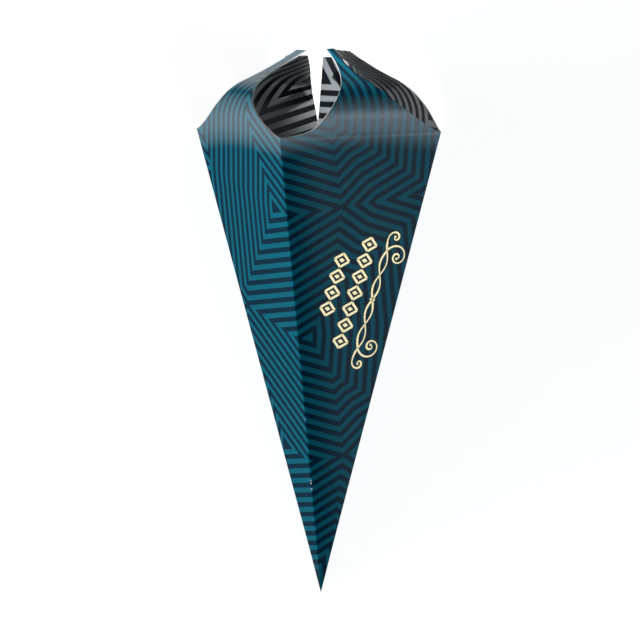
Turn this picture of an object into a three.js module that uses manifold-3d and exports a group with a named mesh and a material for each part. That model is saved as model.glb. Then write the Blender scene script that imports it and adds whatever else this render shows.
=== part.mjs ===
// A cone packaging box: one sheet of card, folded to a four-sided cone with its point down.
// Past the mouth each panel runs on as a petal that rolls inward, with a round scoop between
// one petal and the next. The box can't stand on its point, so it lies on one panel, with the
// mouth towards +Y. Sizes are in millimetres.

import * as THREE from 'three';
import { mergeVertices } from 'three/addons/utils/BufferGeometryUtils.js';
import Module from 'manifold-3d';

// Card and cone
const CARD = 0.45; // thickness of the laminated card
const MOUTH_SIDE = 60; // width of a panel at the corners of the mouth
const CORNER_EDGE = 160; // length of a corner fold, from the point to the mouth

// Petals: the card goes straight on for a little, rolls inward, and ends straight
const ROLL_START = 6;
const ROLL_RADIUS = 11;
const NECK = 2.6; // narrowest width of a petal, close to its end

// The four panels, counter-clockwise from +X, each with the angle from the cone's axis at which
// its petal ends, and the petal's length past the mouth
const RIGHT = { facing: 0, lean: 58, reach: 37 };
const BOTTOM = { facing: 90, lean: 70, reach: 37 };
const LEFT = { facing: 180, lean: 62, reach: 42 };
const TOP = { facing: 270, lean: 58, reach: 39 };

// Seam: a flap of the right panel is glued inside the bottom panel. It runs on past the mouth
// as a tongue, which meets the right petal round a soft corner.
const FLAP_WIDTH = 13.5;
const FLAP_FOOT = 40; // where the flap starts, measured from the point
const FLAP_TAPER = 16; // length over which the flap's foot widens
const TONGUE_AT_FOLD = 24; // height of the tongue past the mouth, at the corner
const TONGUE_AT_EDGE = 22; // the same, at its free edge
const SOFT_CORNER = 12; // how far the tongue's corner is rounded, at its top
const SEAM_GAP = 0.5; // play between the tongue and the bottom petal's cut edge
const SEAM_RISE = 1.5; // height over which the bottom petal's cut leaves the corner
const GLUE_SINK = 0.1; // how far the glue line draws the flap into the bottom panel
const INSET = 0.03; // the flap's faces lie this far inside the card that they run on from

// Facets
const COLUMNS = 12;
const ROWS = 26;
const TONGUE_ROWS = 12;
const FLAP_COLUMNS = 9;

// Worked out from the sizes above
const HALF_SIDE = MOUTH_SIDE / 2;
const FAN = Math.asin(HALF_SIDE / CORNER_EDGE); // half of a panel's angle at the point
const SLANT = CORNER_EDGE * Math.cos(FAN); // a panel's length along its middle
const TILT = Math.asin(HALF_SIDE / SLANT); // angle between a panel and the axis
const STRAIGHT = -TILT; // the lean of card that goes on without a roll
const SCOOP_RADIUS = (HALF_SIDE - NECK / 2) / (1 - Math.sin(FAN));

const { sin, cos, min, max, sqrt } = Math;
const { lerp, smoothstep, degToRad } = THREE.MathUtils;

// Shape of the sheet

// Half the width of a panel at a distance from the point, with its folds going on straight.
function foldHalf(along) {
  return along * Math.tan(FAN);
}

// Half the width of a petal beside a scoop. The scoop is a circle through the mouth's corner,
// centred on the line that the corner fold would take.
function scoopHalf(rise) {
  const acrossCentre = HALF_SIDE + SCOOP_RADIUS * sin(FAN);
  const aboveCentre = rise - SCOOP_RADIUS * cos(FAN);
  return acrossCentre - sqrt(max(SCOOP_RADIUS ** 2 - aboveCentre ** 2, 0));
}

// Half the width of the bottom petal beside the seam, where it is cut straight to clear the tongue.
function seamCutHalf(rise) {
  const foot = HALF_SIDE - FLAP_WIDTH - SEAM_GAP;
  const straightCut = lerp(foot, NECK / 2, rise / BOTTOM.reach);
  const corner = max(1 - rise / SEAM_RISE, 0) ** 2;
  return straightCut + (HALF_SIDE - foot) * corner;
}

// Side view of a panel and its petal: distance from the axis, height, and angle from the axis.
function profile(along, lean) {
  const start = SLANT + ROLL_START;
  const straight = min(along, start);
  const bend = min(max(along - start, 0) / ROLL_RADIUS, TILT + lean);
  const angle = TILT - bend;
  const rest = along - straight - bend * ROLL_RADIUS;
  return {
    out: straight * sin(TILT) + ROLL_RADIUS * (cos(angle) - cos(TILT)) + rest * sin(angle),
    up: straight * cos(TILT) + ROLL_RADIUS * (sin(TILT) - sin(angle)) + rest * cos(angle),
    angle,
  };
}

// A point of the card: along the panel from the point, across it, and below its outer face.
function cardPoint(panel, along, across, depth, lean = degToRad(panel.lean)) {
  const { out, up, angle } = profile(along, lean);
  const point = new THREE.Vector3(out - depth * cos(angle), across, up + depth * sin(angle));
  return point.applyAxisAngle(new THREE.Vector3(0, 0, 1), degToRad(panel.facing));
}

// The corner of the mouth that follows a panel, where two panels meet in a mitre.
function mouthCorner(panel, depth) {
  const inward = depth / (1 + sin(TILT) ** 2);
  const point = cardPoint(panel, SLANT, HALF_SIDE, inward);
  const nextNormal = new THREE.Vector3(0, cos(TILT), -sin(TILT));
  nextNormal.applyAxisAngle(new THREE.Vector3(0, 0, 1), degToRad(panel.facing));
  return point.addScaledVector(nextNormal, -inward);
}

// A point of the right petal or the tongue, at a distance round their shared corner: below zero
// on the petal, above zero on the tongue. The corner starts sharp and is softest at the top.
function seamPoint(along, round, depth) {
  const rounding = SOFT_CORNER * smoothstep(along - SLANT, 0, TONGUE_AT_FOLD);
  const edge = foldHalf(along);
  const onPetal = (back) => {
    const across = edge - CARD - back;
    return cardPoint(RIGHT, along, across, depth, rightLean(across / (edge - CARD)));
  };
  const onTongue = (on) => cardPoint(BOTTOM, along, on - edge, CARD + depth, STRAIGHT);
  const reach = max(rounding, depth);
  if (round <= -reach) return onPetal(-round);
  if (round >= reach) return onTongue(round);
  if (rounding <= depth) return onTongue(depth);
  const curve = new THREE.QuadraticBezierCurve3(onPetal(reach), onTongue(depth), onTongue(reach));
  return curve.getPoint((round / reach + 1) / 2);
}

// The right petal rolls fully in its middle and not at all at the seam.
function rightLean(share) {
  return lerp(degToRad(RIGHT.lean), STRAIGHT, smoothstep(share, 0, 1));
}

// A point of a panel past the mouth. The share across runs from -1 to 1, the share up from 0 to 1.
function petalPoint(panel, shareAcross, shareUp, depth) {
  const atSeam = panel === RIGHT && shareAcross > 0;
  const reach = atSeam ? lerp(panel.reach, TONGUE_AT_FOLD, smoothstep(shareAcross, 0, 1)) : panel.reach;
  const rise = reach * riseShare(panel, shareUp);
  const along = SLANT + rise;
  if (atSeam) {
    const width = foldHalf(along) - CARD;
    return seamPoint(along, (shareAcross - 1) * width, depth);
  }
  const besideSeamCut = panel === BOTTOM && shareAcross < 0;
  const half = besideSeamCut ? seamCutHalf(rise) : scoopHalf(rise);
  return cardPoint(panel, along, shareAcross * half, depth);
}

// Rows follow the scoop by equal angles, so that they lie close together at the corners.
function riseShare(panel, shareUp) {
  const endAngle = Math.acos(cos(FAN) - panel.reach / SCOOP_RADIUS);
  const angle = lerp(FAN, endAngle, shareUp);
  return (cos(FAN) - cos(angle)) * SCOOP_RADIUS / panel.reach;
}

// Closed bodies

// Triangles of a body, gathered corner by corner.
class Facets {
  corners = [];

  triangle(a, b, c) {
    this.corners.push(...a, ...b, ...c);
  }

  quad(a, b, c, d) {
    this.triangle(a, b, c);
    this.triangle(a, c, d);
  }

  // Two matching grids of points, the faces of a stretch of card, and the cut edges asked for.
  card(outer, inner, { start = true, end = true, bottom = true, top = true }) {
    const lastRow = outer.length - 1;
    const lastColumn = outer[0].length - 1;
    for (let i = 0; i < lastRow; i += 1) {
      for (let j = 0; j < lastColumn; j += 1) {
        this.quad(outer[i][j], outer[i][j + 1], outer[i + 1][j + 1], outer[i + 1][j]);
        this.quad(inner[i][j], inner[i + 1][j], inner[i + 1][j + 1], inner[i][j + 1]);
      }
      if (start) this.quad(outer[i][0], outer[i + 1][0], inner[i + 1][0], inner[i][0]);
      if (end) {
        const j = lastColumn;
        this.quad(outer[i][j], inner[i][j], inner[i + 1][j], outer[i + 1][j]);
      }
    }
    for (let j = 0; j < lastColumn; j += 1) {
      const i = lastRow;
      if (bottom) this.quad(outer[0][j], inner[0][j], inner[0][j + 1], outer[0][j + 1]);
      if (top) this.quad(outer[i][j], outer[i][j + 1], inner[i][j + 1], inner[i][j]);
    }
  }

  geometry() {
    const soup = new THREE.BufferGeometry();
    soup.setAttribute('position', new THREE.Float32BufferAttribute(this.corners, 3));
    return mergeVertices(soup, 1e-4);
  }
}

function grid(rows, columns, pointAt) {
  const span = (count) => Array.from({ length: count + 1 }, (_, index) => index);
  return span(rows).map((i) => span(columns).map((j) => pointAt(i, j)));
}

// The four panels and their petals, as one body that closes at the point.
function buildCone() {
  const facets = new Facets();
  const panels = [RIGHT, BOTTOM, LEFT, TOP];
  const point = { outer: new THREE.Vector3(), inner: new THREE.Vector3(0, 0, CARD / sin(TILT)) };
  panels.forEach((panel, index) => {
    const previous = panels[(index + panels.length - 1) % panels.length];
    const skin = (depth) => grid(ROWS, COLUMNS, (i, j) => {
      if (i === 0 && j === 0) return mouthCorner(previous, depth);
      if (i === 0 && j === COLUMNS) return mouthCorner(panel, depth);
      const shareAcross = 2 * j / COLUMNS - 1;
      if (i === 0) return cardPoint(panel, SLANT, shareAcross * HALF_SIDE, depth);
      return petalPoint(panel, shareAcross, i / ROWS, depth);
    });
    const outer = skin(0);
    const inner = skin(CARD);
    facets.card(outer, inner, { bottom: false });
    for (let j = 0; j < COLUMNS; j += 1) {
      facets.triangle(point.outer, outer[0][j + 1], outer[0][j]);
      facets.triangle(point.inner, inner[0][j], inner[0][j + 1]);
    }
  });
  return facets.geometry();
}

// The glue flap and the tongue, as one strip that starts inside the right panel's card.
function buildFlap() {
  const facets = new Facets();
  const overlap = 1;
  const flapRows = [FLAP_FOOT, FLAP_FOOT + FLAP_TAPER, SLANT];
  const widthAt = (along) => lerp(overlap, FLAP_WIDTH, min((along - FLAP_FOOT) / FLAP_TAPER, 1));
  const roundAt = (j, along) => {
    if (j === 0) return -overlap;
    return widthAt(along) * (j - 1) / (FLAP_COLUMNS - 1);
  };
  const skin = (depthAt) => grid(flapRows.length - 1 + TONGUE_ROWS, FLAP_COLUMNS, (i, j) => {
    const tongueShare = max(i - flapRows.length + 1, 0) / TONGUE_ROWS;
    const foot = flapRows[min(i, flapRows.length - 1)];
    const round = roundAt(j, foot);
    const height = lerp(TONGUE_AT_FOLD, TONGUE_AT_EDGE, max(round, 0) / FLAP_WIDTH);
    return seamPoint(foot + tongueShare * height, round, depthAt(round, tongueShare));
  });
  const glued = (round, tongueShare) => round > 0 && tongueShare === 0;
  const outer = skin((round, tongueShare) => (glued(round, tongueShare) ? -GLUE_SINK : INSET));
  const inner = skin(() => CARD - INSET);
  facets.card(outer, inner, {});
  return facets.geometry();
}

const wasm = await Module();
wasm.setup();

function toSolid(geometry) {
  return new wasm.Manifold(new wasm.Mesh({
    numProp: 3,
    vertProperties: geometry.attributes.position.array,
    triVerts: new Uint32Array(geometry.index.array),
  }));
}

function toGeometry(solid) {
  const { vertProperties, triVerts } = solid.getMesh();
  const geometry = new THREE.BufferGeometry();
  geometry.setAttribute('position', new THREE.BufferAttribute(vertProperties, 3));
  geometry.setIndex(new THREE.BufferAttribute(triVerts, 1));
  geometry.computeVertexNormals();
  return geometry;
}

// The sheet, laid on its bottom panel and centred over the middle of its footprint.
function buildSheet() {
  const print = new THREE.MeshStandardMaterial({ color: 0x0b6475, roughness: 0.25, metalness: 0 });
  const sheet = new THREE.Mesh(toGeometry(toSolid(buildCone()).add(toSolid(buildFlap()))), print);
  sheet.name = 'cone_sheet';
  sheet.rotation.x = TILT - Math.PI / 2;
  const middle = new THREE.Box3().setFromObject(sheet, true).getCenter(new THREE.Vector3());
  sheet.position.set(-middle.x, -middle.y, 0);
  return sheet;
}

const group = new THREE.Group();
group.add(buildSheet());

export default group;
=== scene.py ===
# A cone packaging box of printed card, lying on one panel: its finish, light and camera.
# The card is built here from sizes of its own. They follow the frame's solid, but its petals differ
# from one another, and its faces are finer.

import math

import bmesh
import bpy
from mathutils import Matrix, Vector


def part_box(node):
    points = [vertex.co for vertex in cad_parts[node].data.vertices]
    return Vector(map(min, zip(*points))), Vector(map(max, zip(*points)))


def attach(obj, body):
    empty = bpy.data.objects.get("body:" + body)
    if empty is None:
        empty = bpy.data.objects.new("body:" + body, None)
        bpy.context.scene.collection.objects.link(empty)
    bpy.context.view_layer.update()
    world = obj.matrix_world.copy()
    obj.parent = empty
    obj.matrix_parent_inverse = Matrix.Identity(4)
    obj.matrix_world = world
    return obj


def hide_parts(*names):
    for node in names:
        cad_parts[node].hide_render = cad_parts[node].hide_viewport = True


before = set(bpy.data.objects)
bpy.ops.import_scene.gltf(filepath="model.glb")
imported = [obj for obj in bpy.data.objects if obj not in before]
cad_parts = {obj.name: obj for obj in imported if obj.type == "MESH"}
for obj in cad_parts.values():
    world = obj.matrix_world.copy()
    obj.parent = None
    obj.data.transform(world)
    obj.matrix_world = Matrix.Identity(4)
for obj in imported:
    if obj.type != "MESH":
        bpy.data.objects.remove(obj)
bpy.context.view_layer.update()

# The sheet, in millimetres
MM = 0.001
CARD = 0.45
MOUTH_SIDE = 60.0
CORNER_EDGE = 160.0
FOLD_ROUND = 0.4
FOLD_ROUND_SHARE = 0.3
CUT_ROUND_SHARE = 0.1
CREASE_REACH = 0.45

# The petals' rolls: where they start past the mouth, and their radius
ROLL_START = 5.0
ROLL_RADIUS = 11.5

# The glue flap from its foot in the cone, and the tongue that it ends in past the mouth
FLAP_WIDTH = 14.5
FLAP_FOOT = 40.0
FLAP_TAPER = 16.0
FLAP_OVERLAP = 1.0
FLAP_INSET = 0.03
TONGUE_AT_FOLD = 22.0
TONGUE_AT_EDGE = 22.5

# The right petal beside the tongue: the corner's largest rounding, and the shares of the petal's
# width from which its roll fades and between which its end slopes down
SOFT_CORNER = 12.0
ROLL_FADE = 0.3
TOP_FADE = (0.25, 0.8)

# The bottom petal's cut beside the seam, bowed from its foot to its end
SEAM_GAP = 0.5
SEAM_RISE = 1.5
SEAM_BOW = 3.2
SEAM_SKEW = 0.7
SEAM_END = 0.1

# The other cut edges are round scoops: half of the petal's narrowest width, what is added to it
# beside the corner at most, and how far past the mouth that is
FRONT_LEFT_CUT = (3.9, 1.0, 5.0)
OUTER_LEFT_CUT = (1.4, 1.8, 4.0)
FRONT_RIGHT_CUT = (1.3, -4.0, 2.0)
SIDE_CUT = (1.4, 3.0, 5.0)
FULL_CUT = (6.3, 3.0, 5.0)
BACK_CUT = (3.0, 4.0, 5.0)

# How many faces the mesh has along and across
COLUMNS = 40
PANEL_ROWS = 10
PETAL_ROWS = 56
FLAP_ROWS = 12
FLAP_CROWDING = 1.5
FLAP_COLUMNS = 30
TONGUE_ROWS = 40

# Where they stand closer: beside a fold, in shares of its rounding, and just below the mouth
FOLD_STEPS = (0.0, 0.35, 0.7, 1.0)
MOUTH_STEPS = (2.0, 1.2, 0.8, 0.4, 0.2)

# Places that are tried for a petal's widest one
PROFILE_STEP = 0.2
PROFILE_STEPS = 80

# The mesh's sharp edges, and in metres what is welded and what is too small for a face
SHARP_ANGLE = math.radians(38)
WELD = 1e-6
SLIVER = 1e-7

# The colours of the print, the card and the foil, and of the painted shadow round the foil
PRINT_LIGHT = (0.003, 0.150, 0.222, 1)
PRINT_DARK = (0.0004, 0.027, 0.056, 1)
INNER_LIGHT = (0.28, 0.31, 0.33, 1)
INNER_DARK = (0.003, 0.005, 0.008, 1)
CARD_WHITE = (0.9, 0.89, 0.86)
CARD_SHADE = 0.82
GOLD = (0.95, 0.83, 0.50)
GOLD_SHADE = 0.88
SHADOW_RIM_LIGHT = (0.003, 0.012, 0.020, 1)
SHADOW_RIM_DARK = (0.001, 0.006, 0.012, 1)

# How uneven its brightness, its roughness and its surface are
PRINT_MOTTLE = 0.12
PRINT_ROUGHNESS = 0.27
PRINT_SMEAR = 0.10
FIBRE_SHARE = 0.25

# Its stripes on the flat sheet, in millimetres and degrees. Each set of mirrors has its heading,
# where it starts and how far apart its lines are
FLAT_LAYER = "flat_sheet"
SHEET_SPAN = 400.0
STRIPE_HEADING = 108.0
STRIPE_PERIOD = 3.3
STRIPE_SOFTNESS = 0.025
INNER_PERIOD = 3.8
INNER_MOVED = 17.0
MIRRORS = ((85.0, 39.0, 43.0), (26.0, 1.0, 36.0), (49.0, 49.0, 44.0))

# The outside's gloss eases from one level to another: from where, to where, and the two levels.
# Places across are from the front fold, and places past are from the mouth's corners
GLOSS_ACROSS_TOP = (0.0, 16.0, 0.01, 0.16)
GLOSS_PAST_TOP = (0.0, 10.0, 1.0, 0.25)
GLOSS_ACROSS_LEFT = (-4.0, 0.0, 0.4, 0.0)
GLOSS_PAST_LEFT = (11.0, 20.0, 0.0, 1.0)
GLOSS_BAND_START = (-8.0, 2.0, 0.0, 0.85)
GLOSS_BAND_END = (3.0, 12.0, 1.0, 0.0)

# What follows from the sizes: the half angle of a panel in the flat sheet, the length of its middle
# line, and how far it leans out from the cone's axis
HALF_SIDE = MOUTH_SIDE / 2
FAN = math.asin(HALF_SIDE / CORNER_EDGE)
SLANT = CORNER_EDGE * math.cos(FAN)
TILT = math.asin(HALF_SIDE / SLANT)


class Panel:
    """One panel: the way it faces, how far its petal leans in at its end and how long that is, its
    place in the flat sheet, how deep its crease is, and the petal's two cuts."""

    def __init__(self, facing, lean, reach, place, crease, before, after):
        self.facing = math.radians(facing)
        self.lean = math.radians(lean)
        self.reach = reach
        self.turn = place * 2 * FAN
        self.crease = crease
        self.before = before
        self.after = after


RIGHT = Panel(facing=0, lean=58, reach=37, place=1.5, crease=0.05,
              before=BACK_CUT, after=None)
BOTTOM = Panel(facing=90, lean=67, reach=39, place=-1.5, crease=0.0,
               before=None, after=FULL_CUT)
LEFT = Panel(facing=180, lean=62, reach=40.3, place=-0.5, crease=0.05,
             before=OUTER_LEFT_CUT, after=FRONT_LEFT_CUT)
TOP = Panel(facing=270, lean=58, reach=39, place=0.5, crease=0.12,
            before=FRONT_RIGHT_CUT, after=SIDE_CUT)
PANELS = (RIGHT, BOTTOM, LEFT, TOP)


def lerp(a, b, share):
    return a + (b - a) * share


def smoothstep(value, low, high):
    share = min(max((value - low) / (high - low), 0.0), 1.0)
    return share * share * (3 - 2 * share)


def bezier(start, control, end, share):
    return start.lerp(control, share).lerp(control.lerp(end, share), share)


# Shape of the sheet, as a cone that stands on its point. Along and across are on a panel's face

def fold_half(along):
    return along * math.tan(FAN)


def fold_rounding(half):
    """How far beside a fold its rounding starts. It is smaller where the panel is narrow."""
    return min(FOLD_ROUND, FOLD_ROUND_SHARE * half)


def scoop_half(rise, cut):
    """Half of a petal's width beside a round scoop, at a height past the mouth."""
    neck, widening, height = cut
    radius = (HALF_SIDE - neck) / (1 - math.sin(FAN))
    across_centre = HALF_SIDE + radius * math.sin(FAN)
    above_centre = rise - radius * math.cos(FAN)
    added = widening * (rise / height) * math.exp(1 - rise / height)
    return across_centre - math.sqrt(max(radius ** 2 - above_centre ** 2, 0.0)) + added


def seam_cut_half(rise):
    """Half of the bottom petal's width beside the seam."""
    foot = HALF_SIDE - FLAP_WIDTH - SEAM_GAP
    share = rise / BOTTOM.reach
    bowed_cut = lerp(foot, SEAM_END, share) + SEAM_BOW * math.sin(math.pi * share ** SEAM_SKEW)
    corner = max(1 - rise / SEAM_RISE, 0.0) ** 2
    return bowed_cut + (HALF_SIDE - foot) * corner


def profile(along, lean):
    """A panel's middle line: how far out and up it is, and how far it leans out there."""
    start = SLANT + ROLL_START
    straight = min(along, start)
    bend = min(max(along - start, 0.0) / ROLL_RADIUS, TILT + lean)
    angle = TILT - bend
    rest = along - straight - bend * ROLL_RADIUS
    out = straight * math.sin(TILT) + ROLL_RADIUS * (math.cos(angle) - math.cos(TILT))
    up = straight * math.cos(TILT) + ROLL_RADIUS * (math.sin(TILT) - math.sin(angle))
    return out + rest * math.sin(angle), up + rest * math.cos(angle), angle


def widest(panel):
    return max(profile(SLANT + PROFILE_STEP * k, panel.lean)[0] for k in range(PROFILE_STEPS))


def turned(point, facing):
    return Matrix.Rotation(facing, 3, "Z") @ point


def neighbour(panel, step):
    return PANELS[(PANELS.index(panel) + step) % len(PANELS)]


def card_point(panel, along, across, depth, lean=None):
    """A point of the card: along and across the panel, and below its outer face."""
    out, up, angle = profile(along, panel.lean if lean is None else lean)
    groove = panel.crease * math.exp(-((along - SLANT) / CREASE_REACH) ** 2)
    depth = depth + groove
    point = Vector((out - depth * math.cos(angle), across, up + depth * math.sin(angle)))
    return turned(point, panel.facing)


def mitre_point(panel, along, depth):
    """The point under the fold that follows a panel, where two panels meet."""
    inward = depth / (1 + math.sin(TILT) ** 2)
    normal = Vector((0, math.cos(TILT), -math.sin(TILT)))
    point = card_point(panel, along, fold_half(along), inward)
    return point - turned(normal, panel.facing) * inward


def folded_point(panel, along, across, depth):
    """A point of a panel below the mouth, with its two folds softly rounded."""
    half = fold_half(along)
    rounding = fold_rounding(half)
    back = half - abs(across)
    if back >= rounding:
        return card_point(panel, along, across, depth)
    side = 1 if across > 0 else -1
    other = neighbour(panel, side)
    start = card_point(panel, along, side * (half - rounding), depth)
    end = card_point(other, along, -side * (half - rounding), depth)
    control = mitre_point(panel if side > 0 else other, along, depth)
    return bezier(start, control, end, 0.5 * (1 - back / rounding))


def right_lean(share):
    """How far the right petal leans in, from the share of its half width beside the seam."""
    return lerp(RIGHT.lean, -TILT, smoothstep(share, ROLL_FADE, 1))


def right_reach(share):
    """How long the right petal is, from the same share."""
    return lerp(RIGHT.reach, TONGUE_AT_FOLD, smoothstep(share, *TOP_FADE))


def seam_point(along, around, depth):
    """The right petal, below zero, and the tongue, above zero, round their soft corner."""
    rounding = SOFT_CORNER * smoothstep(along - SLANT, 0, TONGUE_AT_FOLD)
    edge = fold_half(along)

    def on_petal(back):
        across = edge - CARD - back
        return card_point(RIGHT, along, across, depth, right_lean(across / (edge - CARD)))

    def on_tongue(on):
        return card_point(BOTTOM, along, on - edge, CARD + depth, -TILT)

    reach = max(rounding, depth)
    if around <= -reach:
        return on_petal(-around)
    if around >= reach:
        return on_tongue(around)
    if rounding <= depth:
        return on_tongue(depth)
    return bezier(on_petal(reach), on_tongue(depth), on_tongue(reach), (around / reach + 1) / 2)


def flat_point(panel, along, across):
    """The same point in the flat sheet, as a place from 0 to 1 in a square that holds it."""
    x = across * math.cos(panel.turn) + along * math.sin(panel.turn)
    y = along * math.cos(panel.turn) - across * math.sin(panel.turn)
    return x / SHEET_SPAN + 0.5, y / SHEET_SPAN


# The cone is laid on its bottom panel, and its point goes where the frame's solid has it

LYING = Matrix.Rotation(TILT - math.pi / 2, 4, "X")


def laid(point):
    return LYING @ point


def tip_place():
    """Where the cone's point lies, in metres, with its left side at the solid's left side."""
    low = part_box("cone_sheet")[0]
    return Vector((low[0] + widest(LEFT) * MM, low[1], 0.0))


TIP = tip_place()


def placed(point):
    """A point of the cone, in millimetres, as its place in the frame, in metres."""
    return laid(point) * MM + TIP


# Mesh

def add_object(name, data):
    piece = bpy.data.objects.new(name, data)
    bpy.context.scene.collection.objects.link(piece)
    return piece


def weld(mesh):
    work = bmesh.new()
    work.from_mesh(mesh)
    bmesh.ops.remove_doubles(work, verts=work.verts, dist=WELD)
    bmesh.ops.dissolve_degenerate(work, edges=work.edges, dist=SLIVER)
    work.to_mesh(mesh)
    work.free()


class Skin:
    """Points, faces, flat places and materials of one piece of card. The materials are those of
    its outer face, its inner face and its cut edge."""

    def __init__(self):
        self.points = []
        self.flat = []
        self.faces = []
        self.slots = []

    def add(self, point, flat):
        self.points.append(placed(point))
        self.flat.append(flat)
        return len(self.points) - 1

    def face(self, corners, slot):
        self.faces.append(corners)
        self.slots.append(slot)

    def card(self, outer, inner, open_start):
        """Both faces, the far edge, and the side edges from a row on."""
        rows = len(outer) - 1
        columns = len(outer[0]) - 1
        for i in range(rows):
            for j in range(columns):
                self.face((outer[i][j], outer[i][j + 1], outer[i + 1][j + 1], outer[i + 1][j]), 0)
                self.face((inner[i][j], inner[i + 1][j], inner[i + 1][j + 1], inner[i][j + 1]), 1)
        for j in range(columns):
            self.face((outer[-1][j], outer[-1][j + 1], inner[-1][j + 1], inner[-1][j]), 2)
        for i in range(open_start, rows):
            self.face((outer[i][0], outer[i + 1][0], inner[i + 1][0], inner[i][0]), 2)
            self.face((outer[i][-1], inner[i][-1], inner[i + 1][-1], outer[i + 1][-1]), 2)

    def build(self, name, materials):
        mesh = bpy.data.meshes.new(name)
        mesh.from_pydata(self.points, [], self.faces)
        layer = mesh.uv_layers.new(name=FLAT_LAYER)
        for loop in mesh.loops:
            layer.data[loop.index].uv = self.flat[loop.vertex_index]
        for material in materials:
            mesh.materials.append(material)
        mesh.polygons.foreach_set("material_index", self.slots)
        mesh.polygons.foreach_set("use_smooth", [True] * len(mesh.polygons))
        weld(mesh)
        mesh.set_sharp_from_angle(angle=SHARP_ANGLE)
        return add_object(name, mesh)


def spread(half_left, half_right, rounding):
    """Places across a panel, close together beside its folds."""
    near = [rounding * step for step in FOLD_STEPS]
    left = [-half_left + step for step in near]
    right = [half_right - step for step in reversed(near)]
    inner = [lerp(left[-1], right[0], k / COLUMNS) for k in range(1, COLUMNS)]
    return left + inner + right


def panel_row(panel, along):
    """Places of one row below the mouth: along and across, with no seam corner."""
    half = fold_half(along)
    return [(along, across, None) for across in spread(half, half, fold_rounding(half))]


def petal_row(panel, share):
    """Places of one row past the mouth: along, across, and how far round the seam's corner. The
    rows are closest together at the mouth, where the scoops are steepest."""
    rise_share = 1 - math.cos(share * math.pi / 2)
    rise = panel.reach * rise_share
    left = scoop_half(rise, panel.before) if panel.before else seam_cut_half(rise)
    half = scoop_half(rise, panel.after) if panel.after else fold_half(SLANT + rise)
    places = spread(left, half, min(FOLD_ROUND, CUT_ROUND_SHARE * left, CUT_ROUND_SHARE * half))
    if panel is not RIGHT:
        return [(SLANT + rise, across, None) for across in places]
    row = []
    for across in places:
        part = across / half
        if part <= 0:
            row.append((SLANT + rise, across, None))
            continue
        along = SLANT + right_reach(part) * rise_share
        width = fold_half(along) - CARD
        row.append((along, part * width, (part - 1) * width))
    return row


def panel_layer(skin, panel, rows, mouth, depth):
    """One face of a panel and its petal, as rows of point numbers."""
    layer = []
    for index, row in enumerate(rows):
        layer.append([])
        for along, across, around in row:
            if index <= mouth:
                point = folded_point(panel, along, across, depth)
            elif around is None:
                point = card_point(panel, along, across, depth)
            else:
                point = seam_point(along, around, depth)
            layer[-1].append(skin.add(point, flat_point(panel, along, across)))
    return layer


def add_tip(skin, panel, outer_row, inner_row):
    flat = flat_point(panel, 0, 0)
    outer_tip = skin.add(Vector((0, 0, 0)), flat)
    inner_tip = skin.add(Vector((0, 0, CARD / math.sin(TILT))), flat)
    for j in range(len(outer_row) - 1):
        skin.face((outer_tip, outer_row[j + 1], outer_row[j]), 0)
        skin.face((inner_tip, inner_row[j], inner_row[j + 1]), 1)


def cone_skin():
    """The four panels with their petals."""
    skin = Skin()
    alongs = [SLANT * k / PANEL_ROWS for k in range(1, PANEL_ROWS)]
    alongs += [SLANT - step for step in MOUTH_STEPS] + [SLANT]
    mouth = len(alongs) - 1
    for panel in PANELS:
        rows = [panel_row(panel, along) for along in alongs]
        rows += [petal_row(panel, k / PETAL_ROWS) for k in range(1, PETAL_ROWS + 1)]
        outer = panel_layer(skin, panel, rows, mouth, 0.0)
        inner = panel_layer(skin, panel, rows, mouth, CARD)
        skin.card(outer, inner, mouth)
        add_tip(skin, panel, outer[0], inner[0])
    return skin


def flap_places(width):
    """Places across the flap, from inside the right panel's card to its edge."""
    return [lerp(-FLAP_OVERLAP, width, k / FLAP_COLUMNS) for k in range(FLAP_COLUMNS + 1)]


def flap_rows():
    """Places of the flap and the tongue: along, and how far round the seam's corner."""
    rows = []
    for k in range(FLAP_ROWS + 1):
        along = lerp(FLAP_FOOT, SLANT, (k / FLAP_ROWS) ** FLAP_CROWDING)
        width = lerp(FLAP_OVERLAP, FLAP_WIDTH, min((along - FLAP_FOOT) / FLAP_TAPER, 1))
        rows.append([(along, around) for around in flap_places(width)])
    for k in range(1, TONGUE_ROWS + 1):
        row = []
        for around in flap_places(FLAP_WIDTH):
            top = lerp(TONGUE_AT_FOLD, TONGUE_AT_EDGE, max(around, 0) / FLAP_WIDTH)
            row.append((SLANT + top * k / TONGUE_ROWS, around))
        rows.append(row)
    return rows


def flap_skin():
    """The glue flap and tongue: a strip that starts inside the right panel's card."""
    skin = Skin()
    rows = flap_rows()
    layers = []
    for depth in (FLAP_INSET, CARD - FLAP_INSET):
        layer = []
        for row in rows:
            layer.append([])
            for along, around in row:
                across = fold_half(along) - CARD + around
                point = seam_point(along, around, depth)
                layer[-1].append(skin.add(point, flat_point(RIGHT, along, across)))
        layers.append(layer)
    outer, inner = layers
    skin.card(outer, inner, 0)
    for j in range(FLAP_COLUMNS):
        skin.face((outer[0][j], inner[0][j], inner[0][j + 1], outer[0][j + 1]), 2)
    return skin


# Materials

def seen_directly(tree):
    """One for rays from the camera and those that it gets by way of gloss or glass, else zero."""
    path = tree.nodes.new("ShaderNodeLightPath")
    seen = path.outputs["Is Camera Ray"]
    for ray in ("Is Glossy Ray", "Is Transmission Ray"):
        either = tree.nodes.new("ShaderNodeMath")
        either.operation = "MAXIMUM"
        tree.links.new(seen, either.inputs[0])
        tree.links.new(path.outputs[ray], either.inputs[1])
        seen = either.outputs[0]
    return seen


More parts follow.
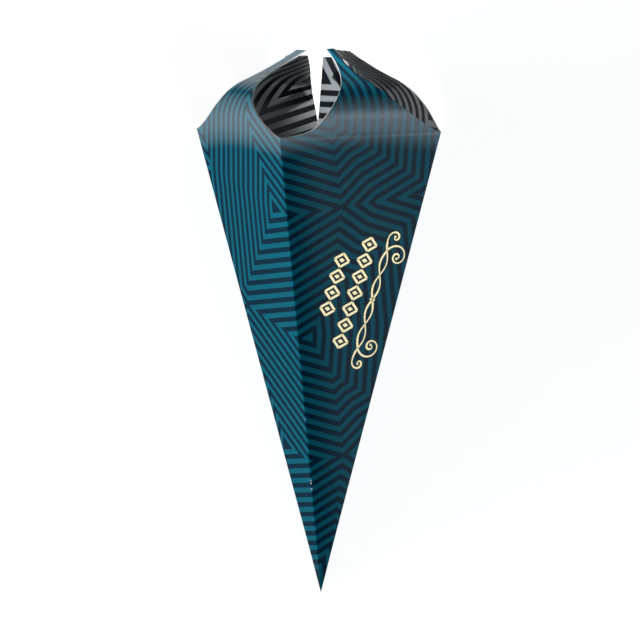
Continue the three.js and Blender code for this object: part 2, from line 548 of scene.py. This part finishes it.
class Nodes:
    """A short way to write a material's nodes."""

    def __init__(self, name):
        self.material = bpy.data.materials.new(name)
        self.material.use_nodes = True
        self.tree = self.material.node_tree
        self.shader = self.tree.nodes["Principled BSDF"]

    def new(self, kind, **settings):
        node = self.tree.nodes.new(kind)
        for key, value in settings.items():
            setattr(node, key, value)
        return node

    def link(self, source, target):
        self.tree.links.new(source, target)

    def put(self, value, socket):
        if hasattr(value, "links"):
            self.link(value, socket)
        else:
            socket.default_value = value

    def math(self, operation, a, b=0.0, c=0.0):
        node = self.new("ShaderNodeMath", operation=operation)
        for value, socket in zip((a, b, c), node.inputs):
            self.put(value, socket)
        return node.outputs[0]

    def mix(self, share, a, b):
        node = self.new("ShaderNodeMix", data_type="RGBA")
        self.put(share, node.inputs["Factor"])
        self.put(a, node.inputs["A"])
        self.put(b, node.inputs["B"])
        return node.outputs["Result"]

    def ease(self, value, start, end, low=0.0, high=1.0):
        """A level that goes smoothly from low to high between two values."""
        ramp = self.new("ShaderNodeMapRange", interpolation_type="SMOOTHSTEP")
        self.link(value, ramp.inputs["Value"])
        for name, number in zip(("From Min", "From Max", "To Min", "To Max"), (start, end, low, high)):
            ramp.inputs[name].default_value = number
        return ramp.outputs["Result"]

    def noise(self, scale, detail=2.0):
        node = self.new("ShaderNodeTexNoise")
        node.inputs["Scale"].default_value = scale
        node.inputs["Detail"].default_value = detail
        where = self.new("ShaderNodeTexCoord")
        self.link(where.outputs["Object"], node.inputs["Vector"])
        return node.outputs["Fac"]

    def bump(self, height, distance):
        node = self.new("ShaderNodeBump")
        node.inputs["Distance"].default_value = distance
        self.link(height, node.inputs["Height"])
        self.link(node.outputs["Normal"], self.shader.inputs["Normal"])

    def colour(self, source):
        self.link(source, self.shader.inputs["Base Color"])


def flat_place(nodes):
    """The place in the flat sheet, in millimetres from the cone's point."""
    place = nodes.new("ShaderNodeUVMap", uv_map=FLAT_LAYER)
    split = nodes.new("ShaderNodeSeparateXYZ")
    nodes.link(place.outputs[0], split.inputs[0])
    x = nodes.math("MULTIPLY_ADD", split.outputs[0], SHEET_SPAN, -SHEET_SPAN / 2)
    return x, nodes.math("MULTIPLY", split.outputs[1], SHEET_SPAN)


def stripes(nodes, period, moved):
    """Stripes of one width that meet in chevrons: the sheet is mirrored to and fro, between lines
    a set distance apart, in three directions one after the other. Dark is zero and light is one,
    and each takes half of a period."""
    x, y = flat_place(nodes)
    x = nodes.math("ADD", x, moved)

    def along(heading, scale, offset):
        part = nodes.math("MULTIPLY_ADD", y, math.sin(heading) * scale, offset)
        return nodes.math("MULTIPLY_ADD", x, math.cos(heading) * scale, part)

    for degrees, offset, spacing in MIRRORS:
        heading = math.radians(degrees)
        place = along(heading, 1.0, offset)
        beyond = nodes.math("SUBTRACT", place, nodes.math("PINGPONG", place, spacing))
        x = nodes.math("MULTIPLY_ADD", beyond, -math.cos(heading), x)
        y = nodes.math("MULTIPLY_ADD", beyond, -math.sin(heading), y)
    count = along(math.radians(STRIPE_HEADING), 1 / period, 0.0)
    half, quarter = 0.5, 0.25
    away = nodes.math("PINGPONG", count, half)
    return nodes.ease(away, quarter - STRIPE_SOFTNESS, quarter + STRIPE_SOFTNESS)


def gloss(nodes):
    """The shine of the outside. It is strongest in a band past the mouth, where the roll starts,
    and low on the left panel, which faces the white floor, up to the end of its roll."""
    x, y = flat_place(nodes)
    square = nodes.math("MULTIPLY_ADD", x, x, nodes.math("MULTIPLY", y, y))
    past = nodes.math("SUBTRACT", nodes.math("SQRT", square), CORNER_EDGE)
    top = nodes.math("MULTIPLY", nodes.ease(x, *GLOSS_ACROSS_TOP), nodes.ease(past, *GLOSS_PAST_TOP))
    left = nodes.math("MULTIPLY", nodes.ease(x, *GLOSS_ACROSS_LEFT), nodes.ease(past, *GLOSS_PAST_LEFT))
    band = nodes.math("MULTIPLY", nodes.ease(past, *GLOSS_BAND_START), nodes.ease(past, *GLOSS_BAND_END))
    return nodes.math("ADD", nodes.math("ADD", top, left), band)


def outer_print():
    """Striped print with a faint mottle, on card that is slightly wavy and fibrous."""
    nodes = Nodes("printed_outside")
    colour = nodes.mix(stripes(nodes, STRIPE_PERIOD, 0.0), PRINT_DARK, PRINT_LIGHT)
    mottle = nodes.noise(scale=900.0, detail=3.0)
    shade = nodes.math("MULTIPLY_ADD", mottle, PRINT_MOTTLE, 1 - PRINT_MOTTLE / 2)
    tint = nodes.new("ShaderNodeVectorMath", operation="SCALE")
    nodes.link(colour, tint.inputs[0])
    nodes.link(shade, tint.inputs["Scale"])
    nodes.colour(tint.outputs[0])
    smear = nodes.noise(scale=60.0, detail=3.0)
    roughness = nodes.math("MULTIPLY_ADD", smear, PRINT_SMEAR, PRINT_ROUGHNESS)
    nodes.link(roughness, nodes.shader.inputs["Roughness"])
    nodes.link(gloss(nodes), nodes.shader.inputs["Specular IOR Level"])
    wave = nodes.noise(scale=45.0, detail=1.0)
    fibre = nodes.noise(scale=2600.0)
    nodes.bump(nodes.math("MULTIPLY_ADD", fibre, FIBRE_SHARE, wave), distance=0.00016)
    return nodes.material


def inner_print():
    nodes = Nodes("printed_inside")
    nodes.colour(nodes.mix(stripes(nodes, INNER_PERIOD, INNER_MOVED), INNER_DARK, INNER_LIGHT))
    nodes.shader.inputs["Roughness"].default_value = 0.42
    nodes.shader.inputs["Specular IOR Level"].default_value = 0.3
    nodes.bump(nodes.noise(scale=1800.0, detail=3.0), distance=0.00002)
    return nodes.material


def shaded(colour, share):
    return tuple(share * part for part in colour)


def cut_edge():
    nodes = Nodes("white_cut_edge")
    fibre = nodes.noise(scale=4200.0, detail=4.0)
    nodes.colour(nodes.mix(fibre, (*shaded(CARD_WHITE, CARD_SHADE), 1), (*CARD_WHITE, 1)))
    nodes.shader.inputs["Roughness"].default_value = 0.85
    nodes.bump(fibre, distance=0.00004)
    return nodes.material


def gold_foil():
    nodes = Nodes("gold_foil")
    crinkle = nodes.noise(scale=1500.0)
    nodes.colour(nodes.mix(crinkle, (*shaded(GOLD, GOLD_SHADE), 1), (*GOLD, 1)))
    nodes.shader.inputs["Metallic"].default_value = 1.0
    nodes.shader.inputs["Roughness"].default_value = 0.24
    nodes.bump(crinkle, distance=0.00003)
    return nodes.material


# A near-black rim, a little wider than the gold foil and laid under it: painted shadow round the foil's
# edge.
def painted_shadow_rim():
    nodes = Nodes("painted_shadow_outline")
    nodes.colour(nodes.mix(nodes.noise(scale=1500.0), SHADOW_RIM_DARK, SHADOW_RIM_LIGHT))
    nodes.shader.inputs["Roughness"].default_value = 0.35
    nodes.shader.inputs["Specular IOR Level"].default_value = 0.35
    return nodes.material


# Ornament: foil shapes on the top panel, in millimetres, drawn in a frame that slopes beside its
# right fold. The frame's x goes towards the mouth, and its y towards that fold

ORNAMENT_ALONG = 101.0
ORNAMENT_ACROSS = 9.6
ORNAMENT_SLOPE = math.radians(13.2)
FOIL_LIFT = 0.05
FOIL_SINK = 0.01
# The painted shadow round the foil: how far it is lifted off the card, and how far past the foil it
# reaches
OUTLINE_LIFT = 0.025
OUTLINE = 0.30

# The flourish: two strands that cross in waves, a curl at each end, and a lozenge in the middle
TWIST_REACH = 17.0
TWIST_WAVES = 2
TWIST_SWING = 1.25
TWIST_STEPS = 48
STEM_TURN = math.radians(32)
RIBBON_THICK = 0.72
RIBBON_THIN = 0.42
RIBBON_SWELLS = 2.5
RIBBON_THINNING = 0.45
RIBBON_THINS_FROM = 0.75
CURL_STEPS = 60
KNOT = 1.1

# The lozenges: each row's count, middle and height, and each one's width and height
LOZENGE_ROWS = ((7, 1.0, -7.2), (4, 2.4, -15.6))
LOZENGE_PITCH = 5.6
LOZENGE = (4.6, 5.6)
LOZENGE_HEART = (1.5, 2.2)
LOZENGE_FRAME = 0.8


def ornament_point(x, y, lift):
    """A point of the ornament's frame, lifted off the card's face."""
    along = ORNAMENT_ALONG + x * math.cos(ORNAMENT_SLOPE) - y * math.sin(ORNAMENT_SLOPE)
    across = ORNAMENT_ACROSS + x * math.sin(ORNAMENT_SLOPE) + y * math.cos(ORNAMENT_SLOPE)
    return placed(card_point(TOP, along, across, -lift))


class Drawing:
    """Flat raised shapes, gathered into one piece. Each can be grown by the same margin."""

    def __init__(self, lift, grow):
        self.lift = lift
        self.grow = grow
        self.points = []
        self.faces = []

    def vertex(self, x, y, lift):
        self.points.append(ornament_point(x, y, lift))
        return len(self.points) - 1

    def stroke(self, line, widths):
        """A ribbon along a line, with flat ends."""
        rails = ([], [], [], [])
        for index, (x, y) in enumerate(line):
            before = line[max(index - 1, 0)]
            after = line[min(index + 1, len(line) - 1)]
            length = math.hypot(after[0] - before[0], after[1] - before[1]) or 1.0
            half = widths[index] / 2 + self.grow
            side_x = (before[1] - after[1]) / length * half
            side_y = (after[0] - before[0]) / length * half
            corners = ((-side_x, -side_y, self.lift), (side_x, side_y, self.lift),
                       (side_x, side_y, -FOIL_SINK), (-side_x, -side_y, -FOIL_SINK))
            for rail, (dx, dy, lift) in zip(rails, corners):
                rail.append(self.vertex(x + dx, y + dy, lift))
        for k in range(len(line) - 1):
            for a, b in zip(rails, rails[1:] + rails[:1]):
                self.faces.append((a[k], a[k + 1], b[k + 1], b[k]))
        self.faces.append(tuple(rail[0] for rail in rails))
        self.faces.append(tuple(rail[-1] for rail in reversed(rails)))

    def plate(self, outline):
        high = [self.vertex(x, y, self.lift) for x, y in outline]
        low = [self.vertex(x, y, -FOIL_SINK) for x, y in outline]
        self.faces.append(tuple(high))
        self.faces.append(tuple(reversed(low)))
        for k in range(len(outline)):
            n = (k + 1) % len(outline)
            self.faces.append((high[k], low[k], low[n], high[n]))

    def disc(self, x, y, radius, sides=20):
        grown = radius + self.grow
        turns = [2 * math.pi * k / sides for k in range(sides)]
        self.plate([(x + grown * math.cos(turn), y + grown * math.sin(turn)) for turn in turns])

    def build(self, name, material):
        mesh = bpy.data.meshes.new(name)
        mesh.from_pydata(self.points, [], self.faces)
        mesh.materials.append(material)
        work = bmesh.new()
        work.from_mesh(mesh)
        bmesh.ops.recalc_face_normals(work, faces=work.faces)
        work.to_mesh(mesh)
        work.free()
        return add_object(name, mesh)


def curl(start, heading, wide, tight, turn):
    """A spiral that turns towards +y, from a wide radius to a tight one."""
    x, y = start
    line = [(x, y)]
    step = turn / CURL_STEPS
    for k in range(CURL_STEPS):
        radius = wide * (tight / wide) ** (k / CURL_STEPS)
        heading += step
        x += radius * step * math.cos(heading)
        y += radius * step * math.sin(heading)
        line.append((x, y))
    return line


def strand(side):
    """Half of one strand of the twist, with the curl that it ends in. The upper strand has a large
    curl, and the lower one a small curl on a stem."""
    line = []
    for k in range(TWIST_STEPS + 1):
        x = TWIST_REACH * k / TWIST_STEPS
        line.append((x, side * TWIST_SWING * math.sin(math.pi * TWIST_WAVES * x / TWIST_REACH)))
    slope = math.atan(side * TWIST_SWING * math.pi * TWIST_WAVES / TWIST_REACH)
    if side > 0:
        return line + curl(line[-1], slope, wide=4.6, tight=0.55, turn=math.radians(610))[1:]
    stem = curl(line[-1], slope, wide=9.5, tight=7.5, turn=STEM_TURN)
    small = curl(stem[-1], slope + STEM_TURN, wide=2.7, tight=0.4, turn=math.radians(400))
    return line + stem[1:] + small[1:]


def ribbon_widths(count):
    """The ribbon swells and narrows along its line, and is narrowest at its end."""
    widths = []
    for k in range(count):
        share = k / (count - 1)
        swell = 0.5 + 0.5 * math.cos(2 * math.pi * share * RIBBON_SWELLS)
        end = 1 - RIBBON_THINNING * smoothstep(share, RIBBON_THINS_FROM, 1.0)
        widths.append(lerp(RIBBON_THIN, RIBBON_THICK, swell) * end)
    return widths


def draw_flourish(drawing):
    for side in (1, -1):
        half = strand(side)
        for way in (1, -1):
            line = [(way * x, y) for x, y in half]
            drawing.stroke(line, ribbon_widths(len(line)))
            drawing.disc(*line[-1], RIBBON_THIN)
    reach = KNOT + drawing.grow
    drawing.plate([(reach, 0), (0, reach), (-reach, 0), (0, -reach)])


def lozenge(size):
    wide, high = size
    return ((wide / 2, 0), (0, high / 2), (-wide / 2, 0), (0, -high / 2))


def draw_lozenge(drawing, x, y):
    """A lozenge's frame, and the small one in its middle."""
    corners = lozenge(LOZENGE)
    for (ax, ay), (bx, by) in zip(corners, corners[1:] + corners[:1]):
        drawing.stroke([(x + ax, y + ay), (x + bx, y + by)], [LOZENGE_FRAME] * 2)
    grown = 1 + 2 * drawing.grow / LOZENGE_HEART[0]
    drawing.plate([(x + a * grown, y + b * grown) for a, b in lozenge(LOZENGE_HEART)])


def draw_frieze(drawing):
    """Two rows of lozenges between the flourish and the front fold."""
    for count, middle, y in LOZENGE_ROWS:
        for k in range(count):
            draw_lozenge(drawing, middle + (k - (count - 1) / 2) * LOZENGE_PITCH, y)


def add_ornament():
    pieces = []
    # The first piece is painted shadow, a dark rim under the gold; the second is the gold foil.
    for name, lift, grow, material in (
        ("ornament_painted_shadow", OUTLINE_LIFT, OUTLINE, painted_shadow_rim()),
        ("gold_ornament", FOIL_LIFT, 0.0, gold_foil()),
    ):
        drawing = Drawing(lift, grow)
        draw_flourish(drawing)
        draw_frieze(drawing)
        pieces.append(drawing.build(name, material))
    return pieces


# Small chips in the print on the front fold, where the white card shows: how far along the fold
# each is, its length and its half width, in millimetres

CHIPS = ((36.6, 0.55, 0.30), (38.6, 0.8, 0.34), (39.6, 0.4, 0.22), (61.0, 0.35, 0.16))
CHIP_SIDES = 9
CHIP_LIFT = 0.02
CHIP_RAGGED = 0.3
CHIP_WAVES = 3.1


def chip_point(along, length, half_width, turn):
    """A point of a chip's ragged outline, on the left panel or the top panel."""
    ragged = 1 + CHIP_RAGGED * math.sin(CHIP_WAVES * turn + along)
    place = along + length / 2 * ragged * math.cos(turn)
    side = half_width * ragged * math.sin(turn)
    half = fold_half(place)
    panel, across = (LEFT, half + side) if side < 0 else (TOP, side - half)
    return placed(folded_point(panel, place, across, -CHIP_LIFT))


def add_chips():
    points = []
    faces = []
    for along, length, half_width in CHIPS:
        first = len(points)
        for k in range(CHIP_SIDES):
            points.append(chip_point(along, length, half_width, 2 * math.pi * k / CHIP_SIDES))
        faces.append(tuple(range(first, first + CHIP_SIDES)))
    mesh = bpy.data.meshes.new("worn_chips")
    mesh.from_pydata(points, [], faces)
    mesh.materials.append(cut_edge())
    return add_object("worn_chips", mesh)


# Camera, at the photograph's angle: its distance and the width that it sees there in metres, its
# aim in millimetres along the cone's axis, and two small shifts of the aim across and up the picture

DISTANCE = 2.0
FIELD = 0.21243
SENSOR = 36.0
AZIMUTH = math.radians(27.95)
ELEVATION = math.radians(5.57)
ROLL = math.radians(-0.34)
AIM_ALONG_AXIS = 91.0
AIM_SIDEWAYS = 0.24
AIM_UPWARD = 0.23


def add_camera():
    """The camera is turned round the cone's axis from the top panel, and raised from its mouth."""
    data = bpy.data.cameras.new("camera")
    data.sensor_width = SENSOR
    data.lens = SENSOR * DISTANCE / FIELD
    camera = add_object("camera", data)
    level = Vector((-math.sin(AZIMUTH), -math.cos(AZIMUTH), 0)) * math.cos(ELEVATION)
    back = laid(level + Vector((0, 0, math.sin(ELEVATION))))
    right = laid(Vector((0, 0, 1))).cross(back).normalized()
    up = back.cross(right)
    turn = Matrix.Rotation(ROLL, 3, back)
    right = turn @ right
    up = turn @ up
    shift = right * AIM_SIDEWAYS + up * AIM_UPWARD
    camera.location = placed(Vector((0, 0, AIM_ALONG_AXIS))) + shift * MM + back * DISTANCE
    camera.rotation_euler = Matrix((right, up, back)).transposed().to_euler()
    bpy.context.scene.camera = camera


# Studio: sizes and places in metres, powers in watts

SPOT_AIM = Vector((0.027, 0.077, 0.008))
SPOT_FROM = Vector((-0.45, 0.25, 0.85)).normalized()
SPOT_POWER = 190.0
SPOT_ANGLE = math.radians(1.5)
SPOT_BLEND = 0.7
SPOT_RADIUS = 0.02
FLOOR_REACH = 6.0
FLOOR_DROP = 0.0001
FLOOR_PAINT = (0.8, 0.8, 0.8, 1)
FLOOR_GLOW = 0.84
SKY = (0.95, 0.98, 1.0, 1)
AMBIENT = 0.05


def point_at(lamp, place, aim):
    lamp.location = place
    lamp.rotation_mode = "QUATERNION"
    lamp.rotation_quaternion = (Vector(aim) - Vector(place)).to_track_quat("-Z", "Y")


def add_lamp(name, place, aim, size, power, colour=(1, 1, 1)):
    data = bpy.data.lights.new(name, "AREA")
    data.shape = "RECTANGLE"
    data.size, data.size_y = size
    data.energy = power
    data.color = colour
    point_at(add_object(name, data), place, aim)


def add_spot():
    """A narrow light into the mouth, on the inside of the tongue."""
    data = bpy.data.lights.new("mouth_spot", "SPOT")
    data.energy = SPOT_POWER
    data.spot_size = SPOT_ANGLE
    data.spot_blend = SPOT_BLEND
    data.shadow_soft_size = SPOT_RADIUS
    point_at(add_object("mouth_spot", data), SPOT_AIM + SPOT_FROM, SPOT_AIM)


def add_floor():
    """A floor that the camera sees as white, with the box's shadow on it."""
    mesh = bpy.data.meshes.new("floor")
    corners = ((-1, -1), (1, -1), (1, 1), (-1, 1))
    points = [(x * FLOOR_REACH, y * FLOOR_REACH, -FLOOR_DROP) for x, y in corners]
    mesh.from_pydata(points, [], [(0, 1, 2, 3)])
    floor = add_object("floor", mesh)
    nodes = Nodes("white_floor")
    paper = nodes.new("ShaderNodeBsdfDiffuse")
    paper.inputs["Color"].default_value = FLOOR_PAINT
    glow = nodes.new("ShaderNodeEmission")
    nodes.link(nodes.math("MULTIPLY", seen_directly(nodes.tree), FLOOR_GLOW), glow.inputs["Strength"])
    both = nodes.new("ShaderNodeAddShader")
    nodes.link(paper.outputs[0], both.inputs[0])
    nodes.link(glow.outputs[0], both.inputs[1])
    nodes.link(both.outputs[0], nodes.tree.nodes["Material Output"].inputs["Surface"])
    mesh.materials.append(nodes.material)


def add_world():
    """A world that the camera sees as white, and that lights the box only a little."""
    world = bpy.data.worlds.new("studio")
    world.use_nodes = True
    tree = world.node_tree
    background = tree.nodes["Background"]
    background.inputs["Color"].default_value = SKY
    strength = tree.nodes.new("ShaderNodeMath")
    strength.operation = "MULTIPLY_ADD"
    tree.links.new(seen_directly(tree), strength.inputs[0])
    strength.inputs[1].default_value = 1 - AMBIENT
    strength.inputs[2].default_value = AMBIENT
    tree.links.new(strength.outputs[0], background.inputs["Strength"])
    bpy.context.scene.world = world


outside = outer_print()
inside = inner_print()
edge = cut_edge()
card = cone_skin().build("folded_card", (outside, inside, edge))
flap = flap_skin().build("glue_flap", (outside, inside, edge))
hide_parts("cone_sheet")
for piece in (card, flap, *add_ornament(), add_chips()):
    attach(piece, "root")

add_camera()
add_lamp("key", place=(-0.60, 0.03, 0.09), aim=(0, 0.02, 0.03), size=(0.5, 0.14), power=2.9)
add_lamp("strip", place=(0.46, -0.24, 0.84), aim=(0, 0.05, 0.05), size=(0.5, 0.12), power=0.75,
         colour=(0.8, 0.92, 1.0))
add_lamp("low", place=(0.20, -0.90, 0.38), aim=(0, 0, 0.04), size=(0.4, 0.3), power=1.5,
         colour=(0.85, 0.94, 1.0))
add_spot()
add_floor()
add_world()
bpy.context.scene.view_settings.view_transform = "Standard"
